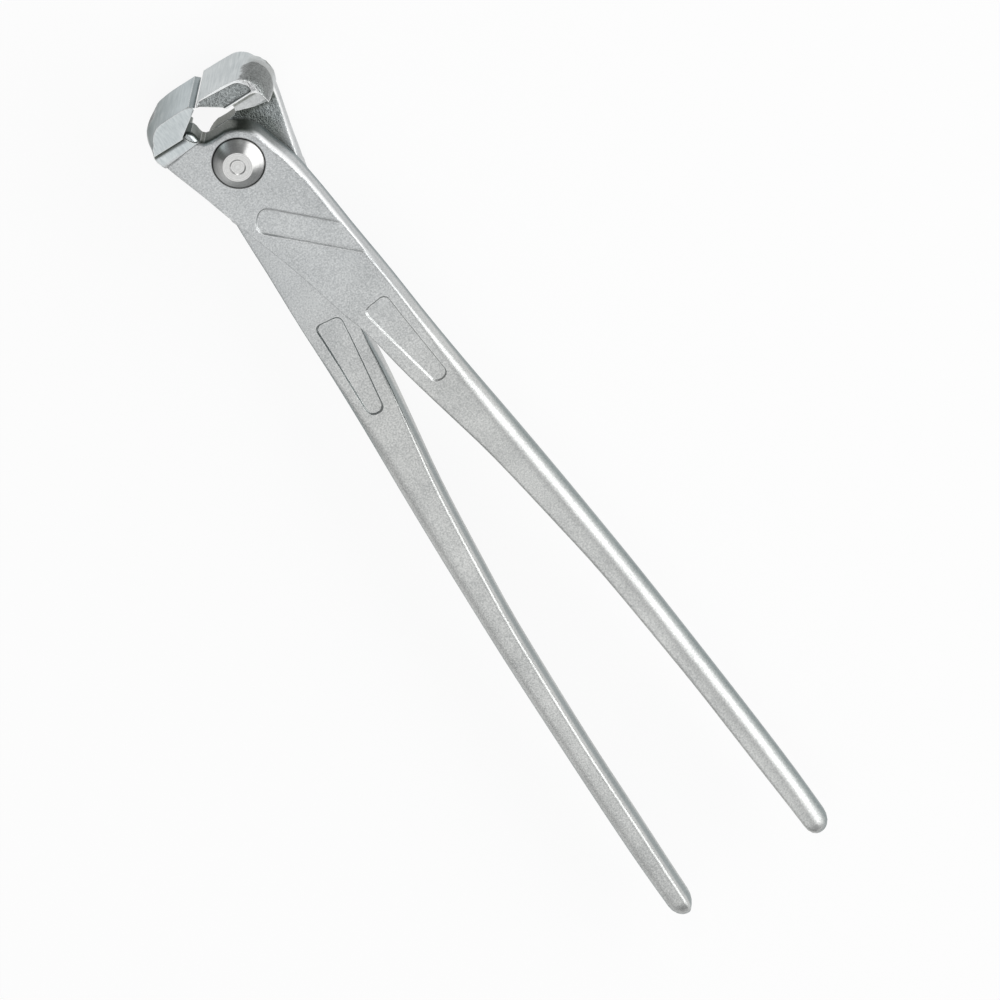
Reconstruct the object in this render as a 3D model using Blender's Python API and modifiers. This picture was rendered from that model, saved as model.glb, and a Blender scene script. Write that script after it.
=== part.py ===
"""Rebar tying pliers: two drop-forged levers of one pattern, crossed and held by one large rivet.

The tool lies flat. The joint axis is +Z, the jaws point along +Y and the handles along -Y.
The origin is on the joint axis, at the face of the rivet's tail. The front half, whose plate lies
on top, has its jaw at -X and its handle at +X. The rear half is the same forging turned over.
All lengths are in metres.
"""

import math

import bmesh
import bpy
from mathutils import Matrix, Vector

# Whole tool, closed
HEAD_REACH = 0.0200
HANDLE_REACH = 0.2305
HALF_SPREAD = 0.0240

# Jaws
JAW_WIDTH = 0.0230
JAW_REACH = 0.0178
EDGE_GAP = 0.0003
EDGE_DROP = 0.0012
EDGE_LAND = 0.0012
OUTER_BEVEL = 0.0026
BEVEL_START = 0.0015
LAP_CROWN = 0.0022
CROWN_START = 0.0030
STEP_RISE = 0.0005
STEP_LINE = 0.0136
STEP_RUN = 0.0021
TERRACE_FOOT = 0.0106
TERRACE_FOOT_RUN = 0.0007
TERRACE_SLANT = 0.0017
LAP_STEP_LINE = 0.0143
LAP_STEP_END = 0.0160
LAP_STEP_CORNER = 0.0026
LAP_STEP_RUN = 0.0009
POCKET_DEPTH = 0.0006
POCKET_DRAFT = 0.0003
POCKET_RADII = (0.0005, 0.0030, 0.0022, 0.0006, 0.0005, 0.0005)

# Lap joint
PLATE_THICKNESS = 0.0084
LAP_GAP = 0.0003
BOSS_RADIUS = 0.0090
BOSS_MERGE = 0.0120
HEAD_OVERLAP = 0.0040
HEAD_FILLET = 0.0020
BOSS_FILLET_SHARE = 0.65
MERGE_DRAW_SHARE = 0.35

# Handles
HANDLE_THICKNESS = 0.0104
TIP_THICKNESS = 0.0094
PLATE_OUTER_FILLET = 0.0011
PLATE_EDGE_FILLET = 0.0005
HANDLE_OUTER_FILLET = 0.0045
HANDLE_INNER_FILLET = 0.0012
RAMP_START = 0.0560
RAMP_END = 0.0960
RAMP_BLEND_SHARE = 0.12
TIP_ROUNDING = 0.0045
TIP_CENTRE_SHARE = 0.42
TIP_ANGLES = (20, 40, 58, 72, 82)

# Rivet
RIVET_RADIUS = 0.0066
RIVET_FACE_RADIUS = 0.0038
RIVET_CLEARANCE = 0.00005
HOLE_CHAMFER = 0.0001
DIMPLE_RADIUS = 0.0021
DIMPLE_DEPTH = 0.0002
DIMPLE_SLOPE = 0.0004

# Recesses
RECESS_DEPTH = 0.0005
RECESS_DRAFT = 0.0004
RECESS_CORNER = 0.0018
RECESS_SKEW_SHARE = 0.12
SLOT_DEPTH = 0.0006
SLOT_DRAFT = 0.0004
SLOT_WIDTH = 0.0072
SLOT_LENGTH = 0.0300
SLOT_CORNER = 0.0028
SLOT_FALL = math.radians(44)

# Faceting
ROUND_SEGMENTS = 64
CORNER_STEPS = 5
CROWN_STEPS = 7
HEAD_STEPS = 9
SHOULDER_STEPS = 3
RECESS_ROWS = 6
SHARP_ANGLE = math.radians(35)
STATION_PITCH = 0.0060
OVERRUN = 0.0020
MERGE_DISTANCE = 0.00001

HALF_JAW = JAW_WIDTH / 2
HALF_LAP = LAP_GAP / 2

# Jaw outline from the outer face round the shoulder to the foot of the jaw: share of JAW_REACH, share
# of HEAD_REACH, and how far the outer side's bevel and the lap side's crown act there.
SHOULDER_SHARES = (
    (0.20, 0.999, 0.0, 0.0),
    (0.45, 0.996, 0.0, 0.0),
    (0.61, 0.982, 0.0, 0.0),
    (0.75, 0.955, 0.3, 0.0),
    (0.868, 0.920, 0.75, 0.45),
    (0.935, 0.878, 1.0, 0.80),
    (0.978, 0.805, 0.88, 0.90),
    (1.0, 0.740, 0.85, 1.0),
    (1.0, 0.650, 0.55, 1.0),
    (0.965, 0.555, 0.15, 0.8),
    (0.90, 0.440, 0.0, 0.6),
)
# Point in a jaw that its bevel and crown draw towards, in the same shares.
JAW_CORE_SHARE = (0.50, 0.66)
# Throat wall from the foot of the jaw up to its inner bevel, in the same shares.
THROAT_SHARES = (
    (0.300, 0.500),
    (0.350, 0.530),
    (0.395, 0.580),
    (0.418, 0.635),
    (0.418, 0.678),
    (0.392, 0.706),
)
# Forged pocket in the lap side of a jaw, in the same shares.
POCKET_SHARES = ((0.09, 0.984), (0.70, 0.945), (0.815, 0.815), (0.81, 0.735), (0.20, 0.735), (0.0, 0.900))
# Foot of the throat, from the round end of the plate up to the jaw's inner bevel and in under the jaw:
# shares of BOSS_RADIUS, and the share of the head's fillet there.
THROAT_FOOT_SHARES = (
    (0.10, 0.975, 0.65),
    (-0.12, 0.97, 0.65),
    (-0.34, 0.98, 0.65),
    (-0.48, 1.01, 0.70),
    (-0.56, 1.09, 0.80),
    (-0.58, 1.20, 1.0),
    (-0.585, 1.32, 0.9),
    (-0.62, 1.44, 0.75),
    (-0.74, 1.54, 0.45),
    (-0.92, 1.52, 0.35),
    (-1.10, 1.15, 0.35),
)
# Lap side: the line where the jaw's side wall ends above the other half's plate.
LAP_WALL_SHARES = ((0.20, 0.605), (0.40, 0.590), (0.66, 0.515), (0.92, 0.475), (1.20, 0.440))
# Inner edge of a lever: share of HANDLE_REACH below the rivet, then the size that sets how far out
# the edge lies there, and the share of it.
INNER_EDGE_SHARES = (
    (-0.046, JAW_REACH, -0.916854),
    (-0.032, JAW_REACH, -0.887191),
    (0.013, JAW_REACH, -0.714607),
    (0.050, JAW_REACH, -0.586517),
    (0.130, JAW_REACH, -0.277753),
    (0.204, HALF_SPREAD, -0.040),
    (0.237, HALF_SPREAD, 0.046),
    (0.256, HALF_SPREAD, 0.075),
    (0.304, HALF_SPREAD, 0.130),
    (0.377, HALF_SPREAD, 0.245),
    (0.447, HALF_SPREAD, 0.358),
    (0.542, HALF_SPREAD, 0.480),
    (0.612, HALF_SPREAD, 0.560),
    (0.703, HALF_SPREAD, 0.625),
    (0.785, HALF_SPREAD, 0.675),
    (0.881, HALF_SPREAD, 0.712),
    (0.960, HALF_SPREAD, 0.746),
    (1.010, HALF_SPREAD, 0.760),
)
# Outer edge of a lever, in the same way.
OUTER_EDGE_SHARES = (
    (-0.020, BOSS_RADIUS, 0.933333),
    (0.0, BOSS_RADIUS, 1.026667),
    (0.020, BOSS_RADIUS, 1.173333),
    (0.043, BOSS_RADIUS, 1.285333),
    (0.087, HALF_SPREAD, 0.520),
    (0.135, HALF_SPREAD, 0.546),
    (0.200, HALF_SPREAD, 0.592),
    (0.273, HALF_SPREAD, 0.625),
    (0.338, HALF_SPREAD, 0.663),
    (0.412, HALF_SPREAD, 0.718),
    (0.499, HALF_SPREAD, 0.785),
    (0.564, HALF_SPREAD, 0.829),
    (0.629, HALF_SPREAD, 0.870),
    (0.699, HALF_SPREAD, 0.905),
    (0.833, HALF_SPREAD, 0.962),
    (0.915, HALF_SPREAD, 0.988),
    (0.960, HALF_SPREAD, 0.992),
    (1.010, HALF_SPREAD, 0.992),
)
# Recess ends: share of HANDLE_REACH below the rivet, inner and outer side as shares of HALF_SPREAD.
RECESS_SHARES = ((0.2125, 0.155, 0.472), (0.329, 0.325, 0.516))
# Slot across the plate: the corner of its closed end, share of HALF_SPREAD and of HANDLE_REACH.
SLOT_START_SHARES = (-0.0975, 0.0529)


def catmull(points, steps):
    """Points of a smooth curve through the given ones."""
    smooth = []
    last = len(points) - 1
    for index in range(last):
        before = Vector(points[max(index - 1, 0)])
        start = Vector(points[index])
        end = Vector(points[index + 1])
        after = Vector(points[min(index + 2, last)])
        for step in range(steps):
            t = step / steps
            smooth.append(
                0.5 * ((2 * start) + (end - before) * t
                       + (2 * before - 5 * start + 4 * end - after) * t ** 2
                       + (3 * start - before - 3 * end + after) * t ** 3)
            )
    smooth.append(Vector(points[last]))
    return smooth


def edge_at(shares, reach):
    """Distance of a lever's edge from the long axis, at a distance below the rivet."""
    curve = catmull([(along, size * across) for along, size, across in shares], CORNER_STEPS)
    share = reach / HANDLE_REACH
    for low, high in zip(curve, curve[1:]):
        if low.x <= share <= high.x:
            t = (share - low.x) / (high.x - low.x)
            return low.y + t * (high.y - low.y)
    return curve[-1].y


def ramp(reach):
    """How far a lever has risen from the lap plate to its full handle section, 0 to 1."""
    blend = RAMP_BLEND_SHARE
    t = (reach - RAMP_START) / (RAMP_END - RAMP_START)
    if t <= -blend:
        return 0.0
    if t < blend:
        return (t + blend) ** 2 / (4 * blend)
    if t <= 1 - blend:
        return t
    if t < 1 + blend:
        return 1 - (1 + blend - t) ** 2 / (4 * blend)
    return 1.0


def mix(start, end, share):
    return start + (end - start) * share


def section(inner, outer, low, high, radii):
    """Corner points of a rounded section, x across and z up, from the outer low corner round."""
    corners = (
        (outer, low, -1, 1, -90, radii[0]),
        (outer, high, -1, -1, 0, radii[1]),
        (inner, high, 1, -1, 90, radii[2]),
        (inner, low, 1, 1, 180, radii[3]),
    )
    points = []
    for x, z, to_x, to_z, first, radius in corners:
        for step in range(CORNER_STEPS + 1):
            angle = math.radians(first + 90 * step / CORNER_STEPS)
            points.append((x + radius * (to_x + math.cos(angle)), z + radius * (to_z + math.sin(angle))))
    return points


def faces(reach):
    """Heights of a lever's lap side and outer side over the lap plane, below the rivet."""
    rise = ramp(reach)
    to_tip = min(max((reach - RAMP_END) / (HANDLE_REACH - RAMP_END), 0), 1)
    half_handle = mix(HANDLE_THICKNESS, TIP_THICKNESS, to_tip) / 2
    return mix(HALF_LAP, -half_handle, rise), mix(PLATE_THICKNESS, half_handle, rise)


def lever_section(reach):
    """Section of a lever at a distance below the rivet, in its own frame with the lap plane at z 0."""
    rise = ramp(reach)
    low, high = faces(reach)
    draw_in = max(BOSS_MERGE - reach, 0) * MERGE_DRAW_SHARE
    inner = edge_at(INNER_EDGE_SHARES, reach) + draw_in
    outer = edge_at(OUTER_EDGE_SHARES, reach) - draw_in
    outer_high = mix(PLATE_OUTER_FILLET, HANDLE_OUTER_FILLET, rise)
    outer_low = mix(PLATE_EDGE_FILLET, HANDLE_OUTER_FILLET, rise)
    inner_radius = mix(PLATE_EDGE_FILLET, HANDLE_INNER_FILLET, rise)
    return section(inner, outer, low, high, (outer_low, outer_high, inner_radius, inner_radius))


def bridged(name, rings):
    """A closed solid through rings of equally many points."""
    mesh = bmesh.new()
    loops = [[mesh.verts.new(point) for point in ring] for ring in rings]
    for lower, upper in zip(loops, loops[1:]):
        for index in range(len(lower)):
            following = (index + 1) % len(lower)
            mesh.faces.new((lower[index], lower[following], upper[following], upper[index]))
    mesh.faces.new(list(reversed(loops[0])))
    mesh.faces.new(loops[-1])
    bmesh.ops.recalc_face_normals(mesh, faces=mesh.faces)
    return finished(name, mesh)


def finished(name, mesh):
    data = bpy.data.meshes.new(name)
    mesh.to_mesh(data)
    mesh.free()
    data.shade_smooth()
    data.set_sharp_from_angle(angle=SHARP_ANGLE)
    return bpy.data.objects.new(name, data)


def plate(name, outline, low, high):
    """A flat outline carried from low to high."""
    curve = bpy.data.curves.new(name, "CURVE")
    curve.dimensions = "2D"
    curve.fill_mode = "BOTH"
    curve.extrude = (high - low) / 2
    spline = curve.splines.new("POLY")
    spline.points.add(len(outline) - 1)
    for point, (x, y) in zip(spline.points, outline):
        point.co = (x, y, 0, 1)
    spline.use_cyclic_u = True
    flat = bpy.data.objects.new(name, curve)
    drawn = bpy.data.meshes.new_from_object(flat)
    mesh = bmesh.new()
    mesh.from_mesh(drawn)
    bmesh.ops.remove_doubles(mesh, verts=mesh.verts, dist=MERGE_DISTANCE)
    bmesh.ops.translate(mesh, verts=mesh.verts, vec=(0, 0, (low + high) / 2))
    bpy.data.objects.remove(flat)
    bpy.data.meshes.remove(drawn)
    return finished(name, mesh)


def rounded_outline(corners, radii, draw_in=0):
    """A closed outline with each corner replaced by an arc of its own radius, then drawn in all round."""
    points = []
    count = len(corners)
    for index, radius in enumerate(radii):
        here = Vector(corners[index])
        back = (Vector(corners[index - 1]) - here).normalized()
        ahead = (Vector(corners[(index + 1) % count]) - here).normalized()
        half_angle = back.angle(ahead) / 2
        centre = here + (back + ahead).normalized() * radius / math.sin(half_angle)
        start = here + back * radius / math.tan(half_angle) - centre
        end = here + ahead * radius / math.tan(half_angle) - centre
        turn = start.angle_signed(end)
        for step in range(CORNER_STEPS + 1):
            angle = -turn * step / CORNER_STEPS
            points.append(centre + Matrix.Rotation(angle, 2) @ start * (1 - draw_in / radius))
    return [tuple(point) for point in points]


def sunk(name, corners, radii, levels):
    """A cutter whose rounded outline is drawn in by its own amount at each level."""
    rings = []
    for level, draw_in in levels:
        outline = rounded_outline(corners, radii, draw_in)
        rings.append([(x, y, level) for x, y in outline])
    return bridged(name, rings)


def jaw_point(share):
    return Vector((-share[0] * JAW_REACH, share[1] * HEAD_REACH))


def jaw_outline():
    """Outline of a jaw in plan, with how far its outer bevel and its lap crown act at each point."""
    edge = (-EDGE_GAP / 2, HEAD_REACH - EDGE_DROP, 0.0, 0.0)
    land = (-EDGE_GAP / 2 - EDGE_LAND, HEAD_REACH, 0.0, 0.0)
    shoulder = [(*jaw_point(share), *share[2:]) for share in SHOULDER_SHARES]
    throat = [(*jaw_point(share), 0.0, 0.0) for share in THROAT_SHARES]
    return [edge] + [tuple(point) for point in catmull([land] + shoulder, SHOULDER_STEPS)] + throat


def inset_ring(outline, level, inset):
    """A weighted outline drawn in by an inset, at a height."""
    count = len(outline)
    ring = []
    for index in range(count):
        x, y, weight = outline[index]
        following = outline[(index + 1) % count]
        before = Vector(outline[index - 1][:2])
        after = Vector(following[:2]) if following[2] else Vector((x, y))
        along = (after - before).normalized()
        ring.append((x - along.y * inset * weight, y + along.x * inset * weight, level))
    return ring


def crowned_jaw(name):
    """The jaw block as a stack of outlines: its shoulder is bevelled towards the outer side and
    crowned towards the lap side."""
    outline = jaw_outline()
    core = jaw_point(JAW_CORE_SHARE)
    rings = []
    for step in range(-CROWN_STEPS, CROWN_STEPS + 1):
        level = math.sin(math.radians(90 * step / CROWN_STEPS)) * HALF_JAW
        bevel = OUTER_BEVEL * max(level - BEVEL_START, 0) / (HALF_JAW - BEVEL_START)
        drop = max(-level - CROWN_START, 0) / (HALF_JAW - CROWN_START)
        crown = LAP_CROWN * (1 - math.sqrt(max(1 - drop ** 2, 0)))
        ring = []
        for x, y, bevel_share, crown_share in outline:
            inwards = (core - Vector((x, y))).normalized() * (bevel * bevel_share + crown * crown_share)
            ring.append((x + inwards.x, y + inwards.y, level))
        rings.append(ring)
    return bridged(name, rings)


def below_line(points, depth):
    """Outline of everything below a line of points, down to a depth."""
    return list(points) + [(points[-1][0], depth), (points[0][0], depth)]


def turned(name, profile):
    """A solid of revolution about Z, from a profile that starts and ends on the axis."""
    data = bpy.data.meshes.new(name)
    data.from_pydata([(radius, 0, z) for radius, z in profile],
                     [(index, index + 1) for index in range(len(profile) - 1)], [])
    solid = bpy.data.objects.new(name, data)
    screw = solid.modifiers.new("turn", "SCREW")
    screw.steps = ROUND_SEGMENTS
    screw.render_steps = ROUND_SEGMENTS
    screw.use_merge_vertices = True
    screw.merge_threshold = MERGE_DISTANCE
    return solid


def combine(solid, tool, operation):
    boolean = solid.modifiers.new(tool.name, "BOOLEAN")
    boolean.operation = operation
    boolean.solver = "EXACT"
    boolean.object = tool


def outer_step(prefix):
    """Cutter for the outer side: a hollow wall from the jaw's side to a low terrace, then a short
    slope to the plate's face."""
    terrace = PLATE_THICKNESS + STEP_RISE
    below = PLATE_THICKNESS - STEP_RISE
    rings = []
    for x, slant in ((-JAW_REACH - OVERRUN, -TERRACE_SLANT), (0, 0)):
        foot = TERRACE_FOOT + slant
        profile = [(0, HALF_JAW + OVERRUN), (STEP_LINE, HALF_JAW + OVERRUN)]
        for step in range(CORNER_STEPS + 1):
            angle = math.radians(90 * step / CORNER_STEPS)
            profile.append((STEP_LINE - STEP_RUN * (1 - math.cos(angle)),
                            HALF_JAW - (HALF_JAW - terrace) * math.sin(angle)))
        profile += [(foot, terrace), (foot - 2 * TERRACE_FOOT_RUN, below), (0, below)]
        rings.append([(x, y, z) for y, z in profile])
    return bridged(prefix + "_outer_step", rings)


def lap_step(prefix):
    """Cutter for the lap side: a hollow wall from the jaw's side down to the level of the plate's face."""
    corners = [(0, LAP_STEP_LINE), (0, 0), (-LAP_STEP_END, 0), (-LAP_STEP_END, LAP_STEP_LINE)]
    levels = [(-HALF_JAW - OVERRUN, 0.0)]
    for step in range(CORNER_STEPS + 1):
        angle = math.radians(90 * step / CORNER_STEPS)
        levels.append((-HALF_JAW + (HALF_JAW - PLATE_THICKNESS) * math.sin(angle),
                       LAP_STEP_RUN * (1 - math.cos(angle))))
    return sunk(prefix + "_lap_step", corners, [LAP_STEP_CORNER] * len(corners), levels)


def jaw_solid(prefix):
    """The jaw with its side steps, pocket and lap clearance cut."""
    jaw = crowned_jaw(prefix + "_jaw")
    wall = [tuple(jaw_point(share)) for share in LAP_WALL_SHARES]
    lap_wall = plate(prefix + "_lap_wall", below_line(wall, 0), -HALF_JAW - OVERRUN, HALF_LAP)
    pocket_corners = [tuple(jaw_point(share)) for share in POCKET_SHARES]
    pocket_levels = [(-HALF_JAW - OVERRUN, -POCKET_DRAFT), (-HALF_JAW, 0.0),
                     (-HALF_JAW + POCKET_DEPTH, POCKET_DRAFT)]
    pocket = sunk(prefix + "_pocket", pocket_corners, POCKET_RADII, pocket_levels)
    tools = [outer_step(prefix), lap_step(prefix), lap_wall, pocket]
    for tool in tools:
        combine(jaw, tool, "DIFFERENCE")
    return jaw, tools


def lever_solid(prefix):
    """The lap plate and handle, lofted from below the rivet to the rounded handle end."""
    straight_end = HANDLE_REACH - TIP_ROUNDING
    count = round((straight_end - BOSS_MERGE) / STATION_PITCH)
    stations = [mix(BOSS_MERGE, straight_end, station / count) for station in range(count + 1)]
    rings = []
    for reach in [BOSS_MERGE - HEAD_OVERLAP] + stations:
        rings.append([(x, -reach, z) for x, z in lever_section(reach)])
    last = rings[-1]
    inner = edge_at(INNER_EDGE_SHARES, straight_end)
    outer = edge_at(OUTER_EDGE_SHARES, straight_end)
    centre = mix(inner, outer, TIP_CENTRE_SHARE)
    for angle in TIP_ANGLES:
        scale = math.cos(math.radians(angle))
        reach = straight_end + TIP_ROUNDING * math.sin(math.radians(angle))
        rings.append([(centre + (x - centre) * scale, -reach, z * scale) for x, _, z in last])
    return bridged(prefix + "_lever", rings)


def plate_head(prefix):
    """The head of the lap plate, round about the rivet, run into the throat, the jaw and the lever."""
    below = BOSS_MERGE + HEAD_OVERLAP
    outer_share = PLATE_OUTER_FILLET / HEAD_FILLET
    edge_share = PLATE_EDGE_FILLET / HEAD_FILLET
    draw_in = HEAD_OVERLAP * MERGE_DRAW_SHARE
    outline = [(edge_at(OUTER_EDGE_SHARES, below) - draw_in, -below, outer_share)]
    for step in range(HEAD_STEPS + 1):
        reach = mix(BOSS_MERGE, 0, step / HEAD_STEPS)
        share = mix(BOSS_FILLET_SHARE, outer_share, reach / BOSS_MERGE)
        outline.append((edge_at(OUTER_EDGE_SHARES, reach), -reach, share))
    for step in range(1, HEAD_STEPS):
        turn = math.radians(90 * step / HEAD_STEPS)
        outline.append((BOSS_RADIUS * math.cos(turn), BOSS_RADIUS * math.sin(turn), BOSS_FILLET_SHARE))
    for across, along, share in THROAT_FOOT_SHARES:
        outline.append((across * BOSS_RADIUS, along * BOSS_RADIUS, share))
    top = INNER_EDGE_SHARES[0][0] * HANDLE_REACH
    for step in range(HEAD_STEPS + 1):
        reach = mix(top, BOSS_MERGE, step / HEAD_STEPS)
        outline.append((edge_at(INNER_EDGE_SHARES, reach), -reach, edge_share))
    outline.append((edge_at(INNER_EDGE_SHARES, below) + draw_in, -below, edge_share))
    levels = [(HALF_LAP, 0.0)]
    for step in range(CORNER_STEPS + 1):
        angle = math.radians(90 * step / CORNER_STEPS)
        levels.append((PLATE_THICKNESS - HEAD_FILLET * (1 - math.sin(angle)),
                       HEAD_FILLET * (1 - math.cos(angle))))
    return bridged(prefix + "_plate_head", [inset_ring(outline, level, inset) for level, inset in levels])


def rivet_hole(prefix):
    hole = RIVET_RADIUS + RIVET_CLEARANCE
    top = PLATE_THICKNESS + OVERRUN
    profile = [
        (0, top),
        (hole + HOLE_CHAMFER + OVERRUN, top),
        (hole, PLATE_THICKNESS - HOLE_CHAMFER),
        (hole, -OVERRUN),
        (0, -OVERRUN),
    ]
    return turned(prefix + "_hole", profile)


def recess_cutter(prefix, on_lap_side):
    """The shallow nameplate recess, a row of sections that follow the slope of the lever's face."""
    (first, *first_sides), (last, *last_sides) = RECESS_SHARES
    top = first * HANDLE_REACH
    bottom = last * HANDLE_REACH
    length = bottom - top
    ends = [RECESS_CORNER * (1 - math.cos(math.radians(90 * step / CORNER_STEPS)))
            for step in range(CORNER_STEPS + 1)]
    middle = [mix(RECESS_CORNER, length - RECESS_CORNER, step / RECESS_ROWS)
              for step in range(1, RECESS_ROWS)]
    rows = ends + middle + [length - distance for distance in reversed(ends)]
    rings = []
    for row in rows:
        to_end = min(row, length - row, RECESS_CORNER)
        draw_in = RECESS_CORNER - math.sqrt(RECESS_CORNER ** 2 - (RECESS_CORNER - to_end) ** 2)
        ring = []
        for out, rise in ((-RECESS_DRAFT, -RECESS_DEPTH), (RECESS_DRAFT, RECESS_DEPTH)):
            reach = top + mix(-out, length + out, row / length)
            inner, outer = (mix(a, b, row / length) * HALF_SPREAD for a, b in zip(first_sides, last_sides))
            low, high = faces(reach)
            level = low - rise if on_lap_side else high + rise
            for x in (inner + draw_in - out, outer - draw_in + out):
                ring.append((x, RECESS_SKEW_SHARE * (x - mix(inner, outer, 0.5)) - reach, level))
        rings.append([ring[0], ring[1], ring[3], ring[2]])
    return bridged(prefix + "_recess", rings)


def slot_cutter(prefix):
    """The shallow slot across the plate, closed at its inner end and open at the outer side."""
    start = Vector((SLOT_START_SHARES[0] * HALF_SPREAD, -SLOT_START_SHARES[1] * HANDLE_REACH))
    along = Vector((math.cos(SLOT_FALL), -math.sin(SLOT_FALL)))
    across = Vector((along.y, -along.x))
    closed_end = [start, start + across * SLOT_WIDTH]
    corners = closed_end + [corner + along * SLOT_LENGTH for corner in reversed(closed_end)]
    levels = [(PLATE_THICKNESS - SLOT_DEPTH, SLOT_DRAFT), (PLATE_THICKNESS, 0.0),
              (PLATE_THICKNESS + OVERRUN, -SLOT_DRAFT)]
    return sunk(prefix + "_slot", corners, [SLOT_CORNER] * len(corners), levels)


def forged_half(name, material, placement, recess_on_lap_side, with_slot, parts, cutters):
    """One half of the tool: lever, plate head and jaw as one forging, drilled for the rivet."""
    half = lever_solid(name)
    half.name = name
    jaw, tools = jaw_solid(name)
    head = plate_head(name)
    hole = rivet_hole(name)
    recess = recess_cutter(name, recess_on_lap_side)
    tools += [jaw, head, hole, recess]
    combine(half, head, "UNION")
    combine(half, jaw, "UNION")
    combine(half, hole, "DIFFERENCE")
    combine(half, recess, "DIFFERENCE")
    if with_slot:
        slot = slot_cutter(name)
        tools.append(slot)
        combine(half, slot, "DIFFERENCE")
    half.data.materials.append(material)
    parts.objects.link(half)
    for tool in tools:
        cutters.objects.link(tool)
        tool.matrix_world = placement
        tool.hide_render = True
        tool.display_type = "WIRE"
    half.matrix_world = placement
    return half


def joint_rivet(name, material, placement, parts):
    """The rivet: a plain shank with a raised conical head at each end."""
    face = HALF_JAW
    profile = [
        (0, face - DIMPLE_DEPTH),
        (DIMPLE_RADIUS - DIMPLE_SLOPE, face - DIMPLE_DEPTH),
        (DIMPLE_RADIUS, face),
        (RIVET_FACE_RADIUS, face),
        (RIVET_RADIUS, PLATE_THICKNESS),
        (RIVET_RADIUS, -PLATE_THICKNESS),
        (RIVET_FACE_RADIUS, -face),
        (0, -face),
    ]
    rivet = turned(name, profile)
    rivet.data.materials.append(material)
    rivet.matrix_world = placement
    parts.objects.link(rivet)
    return rivet


def steel(name, colour, roughness):
    material = bpy.data.materials.new(name)
    material.use_nodes = True
    shader = material.node_tree.nodes["Principled BSDF"]
    shader.inputs["Base Color"].default_value = (*colour, 1.0)
    shader.inputs["Roughness"].default_value = roughness
    shader.inputs["Metallic"].default_value = 1.0
    return material


def main():
    for leftover in list(bpy.data.objects):
        bpy.data.objects.remove(leftover, do_unlink=True)
    parts = bpy.data.collections.new("rebar_tying_pliers")
    cutters = bpy.data.collections.new("cutters")
    bpy.context.scene.collection.children.link(parts)
    bpy.context.scene.collection.children.link(cutters)
    upright = Matrix.Translation((0, 0, HALF_JAW))
    turned_over = upright @ Matrix.Rotation(math.pi, 4, "Y")
    forged_half("front_half", steel("front_half_zinc", (0.52, 0.54, 0.54), 0.5),
                upright, False, True, parts, cutters)
    forged_half("rear_half", steel("rear_half_zinc", (0.52, 0.54, 0.54), 0.5),
                turned_over, True, False, parts, cutters)
    joint_rivet("joint_rivet", steel("rivet_steel", (0.56, 0.56, 0.55), 0.3), upright, parts)


main()
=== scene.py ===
"""Rebar tying pliers, closed and lying flat: zinc-plated forgings on one large rivet.

The jaws point along +Y, the joint axis is +Z, and the handles spread towards -Y. All lengths are
in metres.
"""

import math

import bpy
from mathutils import Matrix, Vector


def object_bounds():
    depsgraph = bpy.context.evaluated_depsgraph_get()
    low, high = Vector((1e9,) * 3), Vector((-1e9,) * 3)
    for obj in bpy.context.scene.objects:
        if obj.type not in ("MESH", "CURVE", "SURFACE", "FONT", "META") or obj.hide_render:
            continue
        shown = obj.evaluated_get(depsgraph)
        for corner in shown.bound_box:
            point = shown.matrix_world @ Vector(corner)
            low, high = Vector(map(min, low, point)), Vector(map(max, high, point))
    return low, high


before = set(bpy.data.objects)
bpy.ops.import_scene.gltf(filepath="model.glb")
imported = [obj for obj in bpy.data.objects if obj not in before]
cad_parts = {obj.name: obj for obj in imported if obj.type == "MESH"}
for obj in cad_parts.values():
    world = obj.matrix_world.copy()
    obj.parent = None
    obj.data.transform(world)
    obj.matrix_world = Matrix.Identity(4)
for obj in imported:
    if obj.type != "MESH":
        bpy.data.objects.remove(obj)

cad_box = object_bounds()


# Camera. The photograph looks down on the flat tool, 21 degrees off the rivet's axis, from far
# away, with the jaws at the upper left and the two handle ends at the lower right.
VIEW_RIGHT = Vector((0.8249272, -0.5619435, -0.0609492))
VIEW_UP = Vector((0.5087536, 0.7851477, -0.3531470))
VIEW_BACK = VIEW_RIGHT.cross(VIEW_UP)
RIVET_FACE = Vector((0.0005, 0.0, 0.0199))
RIVET_RIGHT_OF_MIDDLE = -0.06495
RIVET_ABOVE_MIDDLE = 0.08445
PICTURE_WIDTH = 0.25
LENS_MM = 800
SENSOR_MM = 36
CLIP_START_SHARE = 0.1
CLIP_END_SHARE = 4.0

middle = RIVET_FACE - VIEW_RIGHT * RIVET_RIGHT_OF_MIDDLE - VIEW_UP * RIVET_ABOVE_MIDDLE
distance = PICTURE_WIDTH * LENS_MM / SENSOR_MM
camera_data = bpy.data.cameras.new("camera")
camera_data.lens = LENS_MM
camera_data.sensor_width = SENSOR_MM
camera_data.clip_start = distance * CLIP_START_SHARE
camera_data.clip_end = distance * CLIP_END_SHARE
camera = bpy.data.objects.new("camera", camera_data)
bpy.context.scene.collection.objects.link(camera)
turn = Matrix((VIEW_RIGHT, VIEW_UP, VIEW_BACK)).transposed().to_4x4()
camera.matrix_world = Matrix.Translation(middle + VIEW_BACK * distance) @ turn
bpy.context.scene.camera = camera
bpy.context.scene.view_settings.view_transform = "Standard"


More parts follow.
